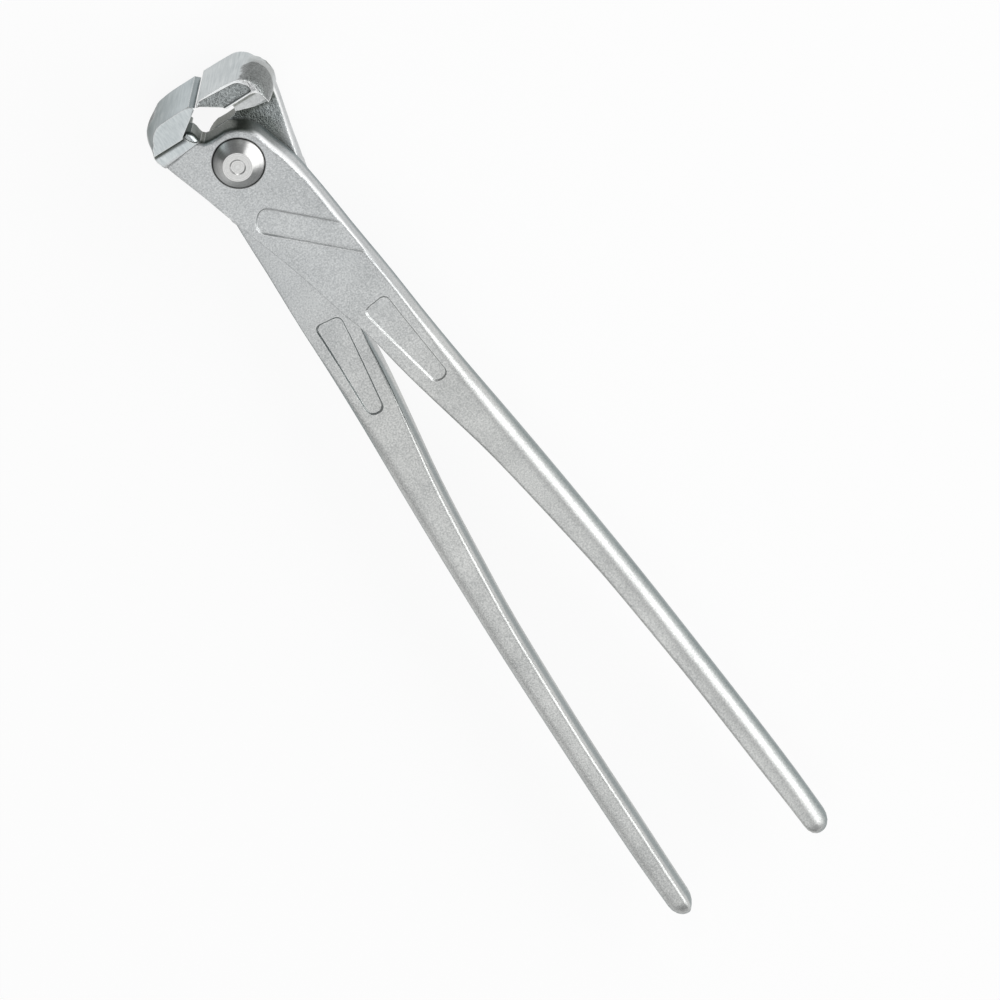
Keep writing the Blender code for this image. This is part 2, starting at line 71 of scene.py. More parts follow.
# Table and light. A white table top that keeps a faint shadow, a soft panel overhead for the flat
# plates, two low panels on the right for the rounded edges, a weak one on the left for the left
# sides of the handles, a high one beyond the jaws for the lips of the recesses, and a dim room.
TABLE_REACH = 12.0
TABLE_DROP = 0.00005
TABLE_COLOUR = (0.94, 0.94, 0.94, 1)
TABLE_GLOW_COLOUR = (1, 1, 1, 1)
TABLE_GLOW_SHARE = 0.90
ROOM_COLOUR = (0.97, 0.985, 1.0, 1)
ROOM_LEVEL = 0.22
PANEL_TARGET = Vector((0.0, -0.08, 0.0))
NODE_COLUMN = 220
NODE_ROW = 260
NODES_IN_COLUMN = 6


def tree_node(tree, kind, **values):
    """A node of a node tree, laid out in the order of making, with its settings and plain inputs."""
    column, row = divmod(len(tree.nodes), NODES_IN_COLUMN)
    node = tree.nodes.new(kind)
    node.location = (column * NODE_COLUMN, -row * NODE_ROW)
    for name, value in values.items():
        if hasattr(node, name):
            setattr(node, name, value)
        else:
            node.inputs[name.replace("_", " ")].default_value = value
    return node


def feed(tree, value, given):
    """Gives an input what feeds it: another node's output, or a plain value."""
    if isinstance(value, bpy.types.NodeSocket):
        tree.links.new(value, given)
    else:
        given.default_value = value


def joined(tree, operation, *values, clamp=False):
    """Values and numbers put together by one operation, from the first to the last."""
    whole = values[0]
    for value in values[1:]:
        node = tree_node(tree, "ShaderNodeMath", operation=operation, use_clamp=clamp)
        feed(tree, whole, node.inputs[0])
        feed(tree, value, node.inputs[1])
        whole = node.outputs[0]
    return whole


def new_material(name):
    """A material with an empty node tree and its output."""
    material = bpy.data.materials.new(name)
    material.use_nodes = True
    material.node_tree.nodes.clear()
    return material, material.node_tree, tree_node(material.node_tree, "ShaderNodeOutputMaterial")


table_paint, tree, output = new_material("white_table_top")
ray = tree_node(tree, "ShaderNodeLightPath").outputs
seen = joined(tree, "MAXIMUM", ray["Is Camera Ray"], ray["Is Glossy Ray"], ray["Is Transmission Ray"])
paint = tree_node(tree, "ShaderNodeBsdfDiffuse", Color=TABLE_COLOUR)
glow = tree_node(tree, "ShaderNodeEmission", Color=TABLE_GLOW_COLOUR, Strength=1.0)
surface = tree_node(tree, "ShaderNodeMixShader")
tree.links.new(joined(tree, "MULTIPLY", seen, TABLE_GLOW_SHARE), surface.inputs[0])
tree.links.new(paint.outputs[0], surface.inputs[1])
tree.links.new(glow.outputs[0], surface.inputs[2])
tree.links.new(surface.outputs[0], output.inputs["Surface"])

table_mesh = bpy.data.meshes.new("table_top")
table_mesh.from_pydata(
    [(x * TABLE_REACH, y * TABLE_REACH, cad_box[0].z - TABLE_DROP)
     for x, y in ((-1, -1), (1, -1), (1, 1), (-1, 1))], [], [(0, 1, 2, 3)])
table_mesh.materials.append(table_paint)
table = bpy.data.objects.new("table_top", table_mesh)
bpy.context.scene.collection.objects.link(table)

room = bpy.data.worlds.new("studio_room")
room.use_nodes = True
room.node_tree.nodes["Background"].inputs["Color"].default_value = ROOM_COLOUR
room.node_tree.nodes["Background"].inputs["Strength"].default_value = ROOM_LEVEL
bpy.context.scene.world = room


def soft_panel(name, place, width, height, level):
    """A soft light panel of a given brightness, facing the tool."""
    lamp = bpy.data.lights.new(name, "AREA")
    lamp.shape = "RECTANGLE"
    lamp.size, lamp.size_y = width, height
    lamp.energy = level * math.pi * width * height
    panel = bpy.data.objects.new(name, lamp)
    bpy.context.scene.collection.objects.link(panel)
    panel.location = Vector(place)
    panel.rotation_euler = (PANEL_TARGET - panel.location).to_track_quat("-Z", "Y").to_euler()


soft_panel("overhead_panel", place=(-0.34, -0.44, 1.30), width=1.70, height=1.70, level=0.92)
soft_panel("key_panel", place=(1.15, -0.62, 0.48), width=1.50, height=0.85, level=3.0)
soft_panel("edge_panel", place=(1.22, 0.28, 0.46), width=0.70, height=0.60, level=2.3)
soft_panel("fill_panel", place=(-1.20, -0.44, 0.58), width=0.90, height=0.70, level=0.75)
soft_panel("lip_panel", place=(0.33, 0.56, 1.13), width=0.45, height=0.45, level=2.6)


# Front half. A drop forging of tool steel: left jaw, front plate and right handle in one piece.
# Blasted and zinc plated all over, then the jaw's faces ground smooth. Its shoulder, web and
# forged pocket keep the rough skin of the forging.
JOINT_HEIGHT = 0.0115
FORGED_SHARP_ANGLE = math.radians(24)
WELD_DISTANCE = 0.000001

# Blasted zinc
ZINC_LIGHT = (0.64, 0.655, 0.655, 1)
ZINC_DARK = (0.41, 0.425, 0.43, 1)
ZINC_ROUGHNESS = (0.50, 0.40)
ZINC_GRAINS_PER_METRE = 2400.0
ZINC_CLOUDS_PER_METRE = 85.0
ZINC_CLOUD_SHARE = 0.15
ZINC_RELIEF = 0.00004
HANDLE_TINT = (1.06, 1.045, 1.02, 1)
HANDLE_TINT_Y = (-0.035, -0.075)

# Ground steel
GROUND_LIGHT = (0.62, 0.655, 0.66, 1)
GROUND_DARK = (0.47, 0.51, 0.52, 1)
GROUND_ROUGHNESS = (0.42, 0.32)
BELT_MARKS_PER_METRE = (2200.0, 500.0, 90.0)
GROUND_CLOUDS_PER_METRE = 140.0
GROUND_CLOUD_SHARE = 0.2
GROUND_RELIEF = 0.00001

# Forged skin
SKIN_LIGHT = (0.36, 0.375, 0.375, 1)
SKIN_DARK = (0.20, 0.21, 0.21, 1)
SKIN_ROUGHNESS = (0.62, 0.42)
SKIN_LUMPS_PER_METRE = 1500.0
SKIN_PITS_PER_METRE = 1900.0
SKIN_RELIEF = 0.00024

# Part of a texture's noise over which its effect runs from none to full
NOISE_SPAN = (0.3, 0.7)
STREAK_SPAN = (0.25, 0.75)
LUMP_SPAN = (0.30, 0.64)
PIT_SPAN = (-0.3, 0.6)

# Rounded edges: worn and painted lighter on the outer ones, painted shade in the inner ones
WORN_AND_LIT_EDGE_RADIUS = 0.00035
WORN_AND_LIT_EDGE_TURN = (0.998, 0.95)
CREVICE_REACH = 0.0012
CREVICE_OPENING = (0.85, 0.35)
FINE_EDGE_RADIUS = 0.00018
WIDE_EDGE_RADIUS = 0.0011

# Tints and colours of the zones, and how far each covers what is under it
# Painted shade: the front half's ground jaw faces are darker towards the shoulder, where they face away
# from the lamps.
FRONT_BLADE_PAINTED_SHADE = (0.82, 0.86, 0.875, 1)
FRONT_SHOULDER_PAINTED_SHADE = (0.30, 0.345, 0.345, 1)
# Painted shade on the front jaw's narrow land, darker where it faces down.
LAND_PAINTED_SHADE = (0.52, 0.56, 0.57, 1)
POCKET_TINT = (1.35, 1.38, 1.38, 1)
# Flash line and painted shade: a darker band on the walls along the parting line. It is the trimmed flash
# of the forging, and painted shade for the dark outline along the tool's edges.
FLASH_LINE_AND_PAINTED_SHADE_TINT = (0.50, 0.555, 0.565, 1)
SHADE_TINT = (0.34, 0.35, 0.31, 1)
# Painted light: the finger's flat is painted lighter, as lit where it faces the lamps.
FINGER_PAINTED_LIGHT_COLOUR = (0.72, 0.73, 0.72, 1)
FINGER_PAINTED_LIGHT_SHARE = 0.60
# Painted highlight: white bands along the top of the plate's wall, the web's rim and the pocket's rim.
PAINTED_HIGHLIGHT_COLOUR = (0.97, 0.975, 0.975, 1)
PAINTED_HIGHLIGHT_SHARE = 0.85
# Wear and painted light: the rounded outer corners are lighter, for their wear and as painted highlight.
WORN_AND_LIT_EDGE_COLOUR = (0.86, 0.87, 0.86, 1)
WORN_AND_LIT_EDGE_SHARE = 0.80
# Painted shade in inner corners and crevices, found by ambient occlusion.
CREVICE_SHADE_COLOUR = (0.06, 0.065, 0.06, 1)
CREVICE_SHADE_SHARE = 0.80
JOINT_COLOUR = (0.03, 0.03, 0.028, 1)
BUMP_STRENGTH = 0.6

# Zones of the front half. A zone is where all of its fades hold. A fade runs from none at its first
# number to full at its second, along an axis of the half or in one of the other measures.
ZONE_FADES = {
    "lap side": (("facing", -0.3, -0.6),),
    "upright": (("tilt", 0.75, 0.45),),
    "jaw": (("y", 0.0094, 0.0102),),
    "inside grind line": (("off grind line", -0.0139, -0.0131),),
    "pocket floor": (("z", 0.00012, 0.00030),),
    "land": (("x", -0.0016, -0.0012),),
    "towards shoulder": (("x", -0.0040, -0.0145),),
    "lap half of head": (("z", 0.0119, 0.0117), ("y", -0.0030, 0.0030)),
    "finger": (("y", 0.0147, 0.0143), ("y", 0.0101, 0.0105),
               ("x", -0.0160, -0.0154), ("z", 0.0034, 0.0030)),
    "plate side": (("off plate edge", 0.0080, 0.0086),),
    "plate head": (("radius", 0.0074, 0.0078), ("x", -0.0030, -0.0010)),
    "plate": (("y", -0.0450, -0.0420),),
    "web edge": (("x", -0.0100, -0.0108), ("y", 0.0100, 0.0090)),
    "top of plate wall": (("z", 0.0174, 0.0190), ("y", -0.0600, -0.0450)),
    "web rim": (("z", 0.0152, 0.0132), ("y", -0.0120, -0.0040)),
    "pocket rim": (("z", 0.00030, 0.00012), ("x", -0.0160, -0.0152)),
    "throat": (("y", 0.0030, 0.0060), ("y", 0.0150, 0.0142),
               ("x", 0.0100, 0.0060), ("x", -0.0110, -0.0080)),
    "shoulder": (("x", -0.0140, -0.0155), ("y", 0.0095, 0.0120)),
    "side step": (("y", 0.0142, 0.0138), ("y", 0.0120, 0.0124), ("x", -0.0040, -0.0060),
                  ("z", 0.0195, 0.0200), ("facing", 0.9, 0.8)),
    "parting": (("off parting", 0.0034, 0.0014), ("y", 0.0060, 0.0020), ("facing", -0.9, -0.6)),
    "finger root": (("y", 0.0127, 0.0131), ("y", 0.0150, 0.0146),
                    ("z", 0.0027, 0.0029), ("z", 0.0034, 0.0032)),
    "root at plate": (("radius", 0.0132, 0.0108),),
    "root at jaw": (("y", 0.0060, 0.0078),),
    "web": (("z", 0.0105, 0.0110), ("x", -0.0030, -0.0060)),
    "joint": (("radius", 0.00695, 0.00675), ("facing", 0.5, 0.9)),
}
GRIND_SLANT = 0.0033
GRIND_SLANT_Z = (0.0095, 0.0140)
GRIND_WANDER = 0.0007
GRIND_WANDERS_PER_METRE = 450.0
PLATE_EDGE_SLANT = 0.14
POCKET_RIM_HIGHLIGHT_SHARE = 0.65
SHOULDER_SHADE_SHARE = 0.35
PLATE_ROOT_SHARE = 0.75
ROOT_SHADE_SHARE = 0.85

COLOUR, NUMBER, PLACE, SOLID = (
    "NodeSocketColor", "NodeSocketFloat", "NodeSocketVector", "NodeSocketGeometry")
MIX_SOCKETS = {"FLOAT": (2, 3, 0), "VECTOR": (4, 5, 1), "RGBA": (6, 7, 2)}


def group_tree(name, inputs, outputs, kind="ShaderNodeTree"):
    """A node group with named inputs and outputs, the node that brings the inputs and the one that
    takes the outputs."""
    tree = bpy.data.node_groups.new(name, kind)
    for socket_name, socket_kind, *value in inputs:
        socket = tree.interface.new_socket(name=socket_name, in_out="INPUT", socket_type=socket_kind)
        if value:
            socket.default_value = value[0]
    for socket_name, socket_kind in outputs:
        tree.interface.new_socket(name=socket_name, in_out="OUTPUT", socket_type=socket_kind)
    return tree, tree_node(tree, "NodeGroupInput").outputs, tree_node(tree, "NodeGroupOutput").inputs


def noise(tree, place, scale, **settings):
    """Noise round a place."""
    node = tree_node(tree, "ShaderNodeTexNoise", **settings)
    tree.links.new(place, node.inputs["Vector"])
    feed(tree, scale, node.inputs["Scale"])
    return node.outputs["Fac"]


def axes_of(tree, vector):
    """The three numbers of a place or a direction."""
    node = tree_node(tree, "ShaderNodeSeparateXYZ")
    tree.links.new(vector, node.inputs[0])
    return node.outputs


def mapped(tree, place, scale, shift=(0.0, 0.0, 0.0)):
    """A place with its axes scaled, then shifted."""
    node = tree_node(tree, "ShaderNodeMapping", Scale=scale, Location=shift)
    tree.links.new(place, node.inputs["Vector"])
    return node.outputs["Vector"]


def ranged(tree, value, span, outcome=(0.0, 1.0), interpolation="LINEAR"):
    """A value brought from one range to another, and kept inside it."""
    node = tree_node(tree, "ShaderNodeMapRange", interpolation_type=interpolation,
                     From_Min=span[0], From_Max=span[1], To_Min=outcome[0], To_Max=outcome[1])
    tree.links.new(value, node.inputs["Value"])
    return node.outputs["Result"]


def blended(tree, kind, share, first, second, blend_type="MIX"):
    """A mix of two colours, values or directions."""
    node = tree_node(tree, "ShaderNodeMix", data_type=kind, blend_type=blend_type)
    low, high, out = MIX_SOCKETS[kind]
    for value, index in ((share, 0), (first, low), (second, high)):
        feed(tree, value, node.inputs[index])
    return node.outputs[out]


def tinted(tree, share, colour, tint):
    """A colour multiplied by a tint, as far as a share says."""
    return blended(tree, "RGBA", share, colour, tint, blend_type="MULTIPLY")


def covered(tree, mask, share, colour, cover):
    """A colour covered by another where a mask is, as far as a share says."""
    return blended(tree, "RGBA", joined(tree, "MULTIPLY", mask, share), colour, cover)


def all_of(tree, *masks):
    """Where all of some masks hold."""
    return joined(tree, "MULTIPLY", *masks)


def any_of(tree, *masks):
    """Where at least one of some masks holds."""
    return joined(tree, "MAXIMUM", *masks)


def outside(tree, mask):
    """Where a mask doesn't hold."""
    return joined(tree, "SUBTRACT", 1.0, mask, clamp=True)


def joint_radius(tree, place):
    """Distance of a place from the joint's axis."""
    flat = tree_node(tree, "ShaderNodeVectorMath", operation="MULTIPLY")
    flat.inputs[1].default_value = (1.0, 1.0, 0.0)
    tree.links.new(place, flat.inputs[0])
    radius = tree_node(tree, "ShaderNodeVectorMath", operation="LENGTH")
    tree.links.new(flat.outputs[0], radius.inputs[0])
    return radius.outputs["Value"]


def finish_tree(name, light, dark, inputs=(), outputs=()):
    """A node group for a finish of steel between a light and a dark colour."""
    return group_tree(
        name,
        (("Place", PLACE), ("Light", COLOUR, light), ("Dark", COLOUR, dark), *inputs),
        (("Color", COLOUR), ("Roughness", NUMBER), ("Height", NUMBER), *outputs))


def blasted_zinc_group():
    """Fine speckle of blasted, zinc-plated steel, a little warmer and lighter on the handles."""
    tree, given, result = finish_tree(
        "blasted_zinc", ZINC_LIGHT, ZINC_DARK,
        inputs=(("Handle tint", COLOUR, HANDLE_TINT),
                ("Grains per metre", NUMBER, ZINC_GRAINS_PER_METRE)))
    grain = noise(tree, given["Place"], given["Grains per metre"], Detail=2.0, Roughness=0.65)
    cloud = noise(tree, given["Place"], ZINC_CLOUDS_PER_METRE, Detail=3.0)
    patch = ranged(tree, cloud, NOISE_SPAN, (-ZINC_CLOUD_SHARE, ZINC_CLOUD_SHARE))
    lightness = joined(tree, "ADD", ranged(tree, grain, NOISE_SPAN), patch, clamp=True)
    on_handle = ranged(tree, axes_of(tree, given["Place"])["Y"], HANDLE_TINT_Y)
    colour = blended(tree, "RGBA", lightness, given["Dark"], given["Light"])
    tree.links.new(tinted(tree, on_handle, colour, given["Handle tint"]), result["Color"])
    tree.links.new(ranged(tree, lightness, (0.0, 1.0), ZINC_ROUGHNESS), result["Roughness"])
    tree.links.new(grain, result["Height"])
    return tree


def ground_steel_group():
    """Faint marks of a grinding belt on the jaw's faces."""
    tree, given, result = finish_tree("ground_steel", GROUND_LIGHT, GROUND_DARK)
    belt_place = mapped(tree, given["Place"], BELT_MARKS_PER_METRE)
    marks = noise(tree, belt_place, 1.0, Detail=3.0, Roughness=0.6)
    cloud = noise(tree, given["Place"], GROUND_CLOUDS_PER_METRE, Detail=2.0)
    patch = ranged(tree, cloud, NOISE_SPAN, (-GROUND_CLOUD_SHARE, GROUND_CLOUD_SHARE))
    lightness = joined(tree, "ADD", ranged(tree, marks, STREAK_SPAN), patch, clamp=True)
    tree.links.new(blended(tree, "RGBA", lightness, given["Dark"], given["Light"]), result["Color"])
    tree.links.new(ranged(tree, lightness, (0.0, 1.0), GROUND_ROUGHNESS), result["Roughness"])
    tree.links.new(marks, result["Height"])
    return tree


def forged_skin_group():
    """Rough pitted skin left by the forging die under the zinc."""
    tree, given, result = finish_tree("forged_skin", SKIN_LIGHT, SKIN_DARK)
    lumps = noise(tree, given["Place"], SKIN_LUMPS_PER_METRE, Detail=3.0, Roughness=0.7)
    pits = tree_node(tree, "ShaderNodeTexVoronoi", Scale=SKIN_PITS_PER_METRE)
    tree.links.new(given["Place"], pits.inputs["Vector"])
    pit = ranged(tree, pits.outputs["Distance"], PIT_SPAN)
    lightness = joined(tree, "MULTIPLY", ranged(tree, lumps, LUMP_SPAN), pit, clamp=True)
    tree.links.new(blended(tree, "RGBA", lightness, given["Dark"], given["Light"]), result["Color"])
    tree.links.new(ranged(tree, lightness, (0.0, 1.0), SKIN_ROUGHNESS), result["Roughness"])
    tree.links.new(joined(tree, "ADD", lumps, pit), result["Height"])
    return tree


def jaw_zones_group():
    """Where a half is ground, rough as forged and widely rounded, and where highlight and shade are painted
    on it, from a place on the front half and how far it faces up."""
    zone_names = ("Ground", "Blade", "To shoulder", "Land", "Forged", "Pocket", "Finger", "Wide edge",
                  "Painted highlight", "Shade", "Flash line and painted shade", "Joint")
    tree, given, result = group_tree(
        "jaw_zones", (("Place", PLACE), ("Facing", NUMBER, 1.0)), [(name, NUMBER) for name in zone_names])
    x, y, z = axes_of(tree, given["Place"])
    ragged = noise(tree, given["Place"], GRIND_WANDERS_PER_METRE, Detail=3.0)
    wander = ranged(tree, ragged, NOISE_SPAN, (-GRIND_WANDER, GRIND_WANDER))
    to_outer = ranged(tree, z, GRIND_SLANT_Z, (0.0, GRIND_SLANT), interpolation="SMOOTHSTEP")
    measures = {
        "x": x, "y": y, "z": z,
        "radius": joint_radius(tree, given["Place"]),
        "facing": given["Facing"],
        "tilt": joined(tree, "ABSOLUTE", given["Facing"], 0.0),
        "off grind line": joined(tree, "ADD", x, to_outer, wander),
        "off plate edge": joined(tree, "ADD", x, joined(tree, "MULTIPLY", y, PLATE_EDGE_SLANT)),
        "off parting": joined(tree, "ABSOLUTE", joined(tree, "SUBTRACT", z, JOINT_HEIGHT), 0.0),
    }
    zone = {name: all_of(tree, *(ranged(tree, measures[measure], span) for measure, *span in fades))
            for name, fades in ZONE_FADES.items()}
    upright, lap_side = zone["upright"], zone["lap side"]

    pocket = all_of(tree, zone["pocket floor"], lap_side)
    ground = all_of(tree, zone["inside grind line"], zone["jaw"], outside(tree, pocket))
    blade = all_of(tree, ground, upright)
    forged = all_of(tree, zone["lap half of head"], outside(tree, ground), outside(tree, zone["finger"]))

    plate_edge = all_of(tree, any_of(tree, zone["plate side"], zone["plate head"]), zone["plate"])
    wall_top = all_of(tree, zone["top of plate wall"], upright, zone["plate side"])
    web_rim = all_of(tree, zone["web rim"], upright, zone["web edge"])
    pocket_rim = all_of(tree, zone["pocket rim"], lap_side, zone["jaw"])
    # Painted highlight on the top of the plate's wall, the web's rim and the pocket's rim.
    painted_highlight = any_of(tree, wall_top, web_rim, joined(tree, "MULTIPLY", pocket_rim, POCKET_RIM_HIGHLIGHT_SHARE))

    root_at_plate = joined(tree, "MULTIPLY", zone["root at plate"], PLATE_ROOT_SHARE)
    web_root = all_of(tree, any_of(tree, root_at_plate, zone["root at jaw"]), zone["web"])
    roots = all_of(tree, any_of(tree, zone["finger root"], web_root), lap_side)
    shoulder = all_of(tree, zone["shoulder"], upright)
    shade = any_of(tree, joined(tree, "MULTIPLY", shoulder, SHOULDER_SHADE_SHARE),
                   all_of(tree, zone["throat"], upright), zone["side step"],
                   joined(tree, "MULTIPLY", roots, ROOT_SHADE_SHARE))

    found = (ground, blade, zone["towards shoulder"], all_of(tree, blade, zone["land"]), forged, pocket,
             zone["finger"], any_of(tree, plate_edge, zone["web edge"]), painted_highlight, shade,
             zone["parting"], zone["joint"])
    for name, mask in zip(zone_names, found):
        tree.links.new(mask, result[name])
    return tree


def worn_and_lit_edges_group():
    """Rounded corners painted lighter for their wear and as painted highlight, and painted shade in the
    inner ones, from the shape itself.
    """
    tree, _, result = group_tree("worn_and_lit_edges", (), (("Edge", NUMBER), ("Crevice", NUMBER)))
    rounding = tree_node(tree, "ShaderNodeBevel", samples=6, Radius=WORN_AND_LIT_EDGE_RADIUS)
    face = tree_node(tree, "ShaderNodeNewGeometry")
    turned = tree_node(tree, "ShaderNodeVectorMath", operation="DOT_PRODUCT")
    tree.links.new(rounding.outputs[0], turned.inputs[0])
    tree.links.new(face.outputs["Normal"], turned.inputs[1])
    corner = ranged(tree, turned.outputs["Value"], WORN_AND_LIT_EDGE_TURN)
    # Painted shade in the inner corners.
    inner = tree_node(tree, "ShaderNodeAmbientOcclusion", samples=8, only_local=True,
                      Distance=CREVICE_REACH)
    crevice = ranged(tree, inner.outputs["AO"], CREVICE_OPENING)
    tree.links.new(joined(tree, "SUBTRACT", corner, crevice, clamp=True), result["Edge"])
    tree.links.new(crevice, result["Crevice"])
    return tree


blasted_zinc = blasted_zinc_group()
ground_steel = ground_steel_group()
forged_skin = forged_skin_group()
jaw_zones = jaw_zones_group()
worn_and_lit_edges = worn_and_lit_edges_group()


def use_group(tree, group, **inputs):
    """A node group placed in a material, fed by its named inputs."""
    node = tree_node(tree, "ShaderNodeGroup", node_tree=group)
    for name, value in inputs.items():
        tree.links.new(value, node.inputs[name])
    return node.outputs


def raised(tree, height, strength, depth, normal):
    """A normal with the relief of a finish added to it."""
    bump = tree_node(tree, "ShaderNodeBump", Distance=depth)
    feed(tree, strength, bump.inputs["Strength"])
    tree.links.new(height, bump.inputs["Height"])
    tree.links.new(normal, bump.inputs["Normal"])
    return bump.outputs[0]


def plated_steel(tree, output, colour, roughness, normal):
    """The shader of a plated steel surface, led to its material's output."""
    steel = tree_node(tree, "ShaderNodeBsdfPrincipled", Metallic=1.0)
    tree.links.new(colour, steel.inputs["Base Color"])
    tree.links.new(roughness, steel.inputs["Roughness"])
    tree.links.new(normal, steel.inputs["Normal"])
    tree.links.new(steel.outputs[0], output.inputs["Surface"])


def half_material(name, turned_over, blade_painted_shade, shoulder_painted_shade):
    """Zinc-plated forging: blasted, ground on the jaw and left rough on the lap side of its head."""
    material, tree, output = new_material(name)
    given = tree_node(tree, "ShaderNodeTexCoord").outputs
    place = given["Object"]
    if turned_over:
        place = mapped(tree, place, scale=(-1.0, 1.0, -1.0), shift=(0.0, 0.0, 2 * JOINT_HEIGHT))
    facing = axes_of(tree, given["Normal"])["Z"]
    facing = joined(tree, "MULTIPLY", facing, -1.0 if turned_over else 1.0)
    zone = use_group(tree, jaw_zones, Place=place, Facing=facing)
    edge_wear_light_and_shade = use_group(tree, worn_and_lit_edges)
    zinc = use_group(tree, blasted_zinc, Place=place)
    ground = use_group(tree, ground_steel, Place=place)
    forged = use_group(tree, forged_skin, Place=place)

    # Painted shade on the ground jaw faces, darker towards the shoulder and on the land.
    tint = blended(tree, "RGBA", zone["To shoulder"], blade_painted_shade, shoulder_painted_shade)
    # Painted shade on the land.
    tint = blended(tree, "RGBA", zone["Land"], tint, LAND_PAINTED_SHADE)
    jaw_colour = tinted(tree, zone["Blade"], ground["Color"], tint)
    skin_colour = tinted(tree, zone["Pocket"], forged["Color"], POCKET_TINT)
    colour = blended(tree, "RGBA", zone["Ground"], zinc["Color"], jaw_colour)
    colour = blended(tree, "RGBA", zone["Forged"], colour, skin_colour)
    # Painted light on the finger's flat.
    colour = covered(tree, zone["Finger"], FINGER_PAINTED_LIGHT_SHARE, colour, FINGER_PAINTED_LIGHT_COLOUR)
    # Flash line and painted shade on the walls along the parting line.
    colour = tinted(tree, zone["Flash line and painted shade"], colour, FLASH_LINE_AND_PAINTED_SHADE_TINT)
    colour = tinted(tree, zone["Shade"], colour, SHADE_TINT)
    # Painted highlight.
    colour = covered(tree, zone["Painted highlight"], PAINTED_HIGHLIGHT_SHARE, colour, PAINTED_HIGHLIGHT_COLOUR)
    # Worn edges and painted highlight on the rounded outer corners.
    colour = covered(tree, edge_wear_light_and_shade["Edge"], WORN_AND_LIT_EDGE_SHARE, colour, WORN_AND_LIT_EDGE_COLOUR)
    # Painted shade in inner corners and crevices.
    colour = covered(tree, edge_wear_light_and_shade["Crevice"], CREVICE_SHADE_SHARE, colour, CREVICE_SHADE_COLOUR)
    colour = blended(tree, "RGBA", zone["Joint"], colour, JOINT_COLOUR)
    roughness = blended(tree, "FLOAT", zone["Ground"], zinc["Roughness"], ground["Roughness"])
    roughness = blended(tree, "FLOAT", zone["Forged"], roughness, forged["Roughness"])

    fine = tree_node(tree, "ShaderNodeBevel", samples=6, Radius=FINE_EDGE_RADIUS)
    wide = tree_node(tree, "ShaderNodeBevel", samples=8, Radius=WIDE_EDGE_RADIUS)
    relief = blended(tree, "VECTOR", zone["Wide edge"], fine.outputs[0], wide.outputs[0])
    for finish, strength, depth in (
            (zinc, BUMP_STRENGTH, ZINC_RELIEF),
            (ground, zone["Ground"], GROUND_RELIEF),
            (forged, zone["Forged"], SKIN_RELIEF)):
        relief = raised(tree, finish["Height"], strength, depth, relief)
    plated_steel(tree, output, colour, roughness, relief)
    return material


def smooth_faces(obj, sharp_angle):
    """Joins the solid's corners and shades it smooth up to its sharp edges."""
    weld = obj.modifiers.new("joined_corners", "WELD")
    weld.merge_threshold = WELD_DISTANCE
    tree, given, result = group_tree(
        obj.name + "_edges", (("Solid", SOLID),), (("Solid", SOLID),), kind="GeometryNodeTree")
    angle = tree_node(tree, "GeometryNodeInputMeshEdgeAngle")
    flat = tree_node(tree, "FunctionNodeCompare", operation="LESS_EQUAL")
    flat.inputs[1].default_value = sharp_angle
    plain = tree_node(tree, "GeometryNodeRemoveAttribute", Name="custom_normal")
    faces = tree_node(tree, "GeometryNodeSetShadeSmooth", domain="FACE")
    edges = tree_node(tree, "GeometryNodeSetShadeSmooth", domain="EDGE")
    tree.links.new(given[0], plain.inputs[0])
    tree.links.new(plain.outputs[0], faces.inputs["Geometry"])
    tree.links.new(faces.outputs[0], edges.inputs["Geometry"])
    tree.links.new(angle.outputs["Unsigned Angle"], flat.inputs[0])
    tree.links.new(flat.outputs[0], edges.inputs["Shade Smooth"])
    tree.links.new(edges.outputs[0], result[0])
    obj.modifiers.new("sharp_edges", "NODES").node_group = tree
    obj.modifiers.new("flat_faces_stay_flat", "WEIGHTED_NORMAL").keep_sharp = True


front_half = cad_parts["front_half"]
front_half.data.materials[0] = half_material(
    "front_half_zinc_plate", turned_over=False,
    blade_painted_shade=FRONT_BLADE_PAINTED_SHADE, shoulder_painted_shade=FRONT_SHOULDER_PAINTED_SHADE)
smooth_faces(front_half, FORGED_SHARP_ANGLE)


# Rear half. The same drop forging turned over: right jaw, rear plate and left handle in one piece.
# It is blasted, plated and ground like the front half, and turns on the rivet behind its plate.
# No painted shade on the rear half's jaw: these tints leave its colour as it is.
REAR_BLADE_PAINTED_SHADE = (1.0, 1.0, 1.0, 1)
REAR_SHOULDER_PAINTED_SHADE = (1.0, 1.0, 1.0, 1)

rear_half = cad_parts["rear_half"]
rear_half.data.materials[0] = half_material(
    "rear_half_zinc_plate", turned_over=True,
    blade_painted_shade=REAR_BLADE_PAINTED_SHADE, shoulder_painted_shade=REAR_SHOULDER_PAINTED_SHADE)
smooth_faces(rear_half, FORGED_SHARP_ANGLE)


# Joint rivet. Turned steel, zinc plated and closed through both plates, with a cone-shaped head
# at each end. The front head keeps the round mark of the closing tool in its flat.
RIVET_SHARP_ANGLE = math.radians(20)
RIVET_LIGHT = (0.67, 0.67, 0.66, 1)
RIVET_DARK = (0.53, 0.53, 0.52, 1)
RIVET_ROUGHNESS = (0.36, 0.28)
RIVET_RINGS_PER_METRE = 4200.0
RIVET_GRAINS_PER_METRE = 2400.0
RIVET_GRAIN_SHARE = 0.3
RIVET_RELIEF = 0.00001
RIVET_BUMP_STRENGTH = 0.4
RIVET_RIM_RADIUS = (0.00630, 0.00652)
RIVET_EDGE_RADIUS = 0.00020
# Wear and painted light on the rivet's rounded corners.
RIVET_WORN_AND_LIT_EDGE_COLOUR = (0.85, 0.85, 0.83, 1)
RIVET_WORN_AND_LIT_EDGE_SHARE = 0.5
# Painted shade in the rivet's inner corners.
RIVET_CREVICE_SHADE_COLOUR = (0.08, 0.08, 0.07, 1)
RIVET_CREVICE_SHADE_SHARE = 0.25


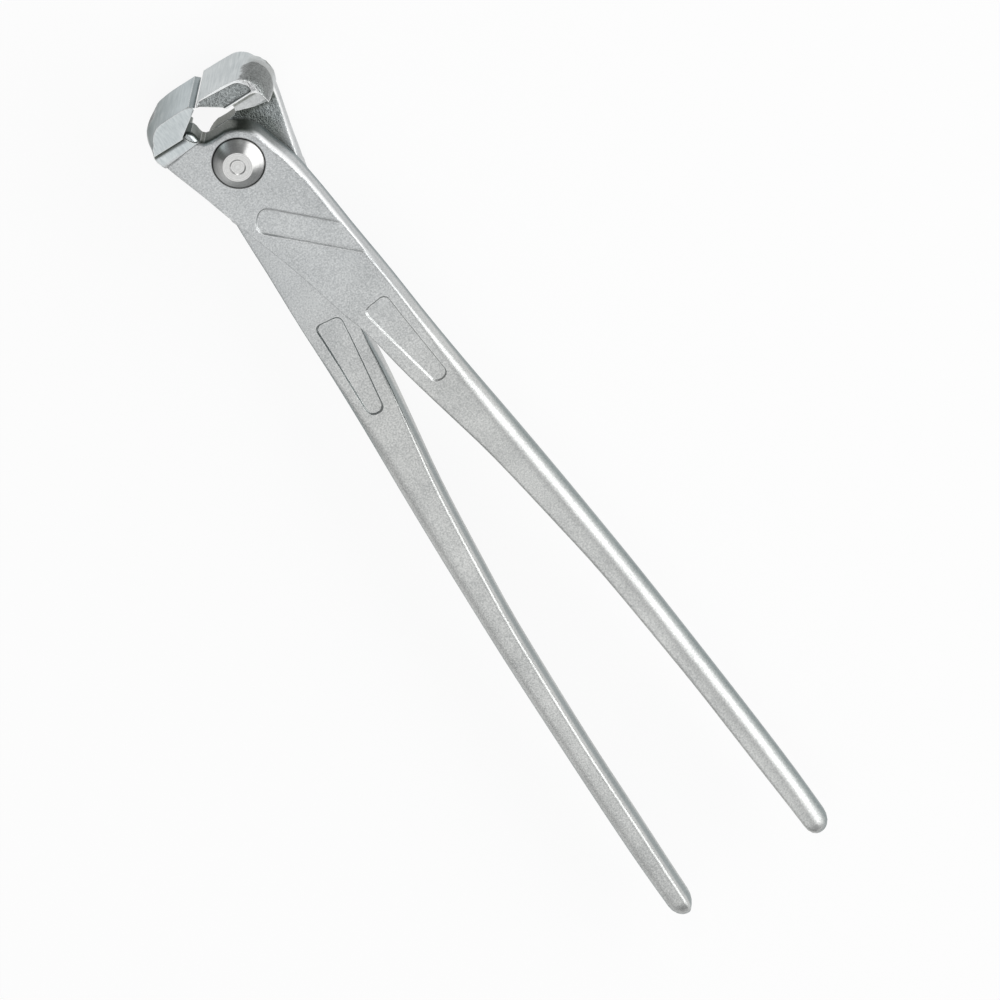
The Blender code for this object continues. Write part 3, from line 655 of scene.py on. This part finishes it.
def turned_steel_group():
    """Fine rings left by turning, round the rivet's axis, and the dark joint at its rim."""
    tree, given, result = finish_tree("turned_steel", RIVET_LIGHT, RIVET_DARK, outputs=(("Joint", NUMBER),))
    radius = joint_radius(tree, given["Place"])
    rings = tree_node(tree, "ShaderNodeTexNoise", noise_dimensions="1D",
                      Scale=RIVET_RINGS_PER_METRE, Detail=2.0)
    tree.links.new(radius, rings.inputs["W"])
    grain = noise(tree, given["Place"], RIVET_GRAINS_PER_METRE, Detail=2.0)
    speck = ranged(tree, grain, NOISE_SPAN, (-RIVET_GRAIN_SHARE, RIVET_GRAIN_SHARE))
    lightness = joined(tree, "ADD", ranged(tree, rings.outputs["Fac"], NOISE_SPAN), speck, clamp=True)
    tree.links.new(blended(tree, "RGBA", lightness, given["Dark"], given["Light"]), result["Color"])
    tree.links.new(ranged(tree, lightness, (0.0, 1.0), RIVET_ROUGHNESS), result["Roughness"])
    tree.links.new(lightness, result["Height"])
    tree.links.new(ranged(tree, radius, RIVET_RIM_RADIUS), result["Joint"])
    return tree


rivet_plate, tree, output = new_material("rivet_zinc_plate")
place = tree_node(tree, "ShaderNodeTexCoord").outputs["Object"]
turned_face = use_group(tree, turned_steel_group(), Place=place)
edge_wear_light_and_shade = use_group(tree, worn_and_lit_edges)
# Worn edges and painted highlight on the rivet's corners.
colour = covered(tree, edge_wear_light_and_shade["Edge"], RIVET_WORN_AND_LIT_EDGE_SHARE, turned_face["Color"], RIVET_WORN_AND_LIT_EDGE_COLOUR)
# Painted shade in the rivet's inner corners.
colour = covered(tree, edge_wear_light_and_shade["Crevice"], RIVET_CREVICE_SHADE_SHARE, colour, RIVET_CREVICE_SHADE_COLOUR)
colour = blended(tree, "RGBA", turned_face["Joint"], colour, JOINT_COLOUR)
rounding = tree_node(tree, "ShaderNodeBevel", samples=6, Radius=RIVET_EDGE_RADIUS).outputs[0]
relief = raised(tree, turned_face["Height"], RIVET_BUMP_STRENGTH, RIVET_RELIEF, rounding)
plated_steel(tree, output, colour, turned_face["Roughness"], relief)

joint_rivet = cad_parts["joint_rivet"]
joint_rivet.data.materials[0] = rivet_plate
smooth_faces(joint_rivet, RIVET_SHARP_ANGLE)
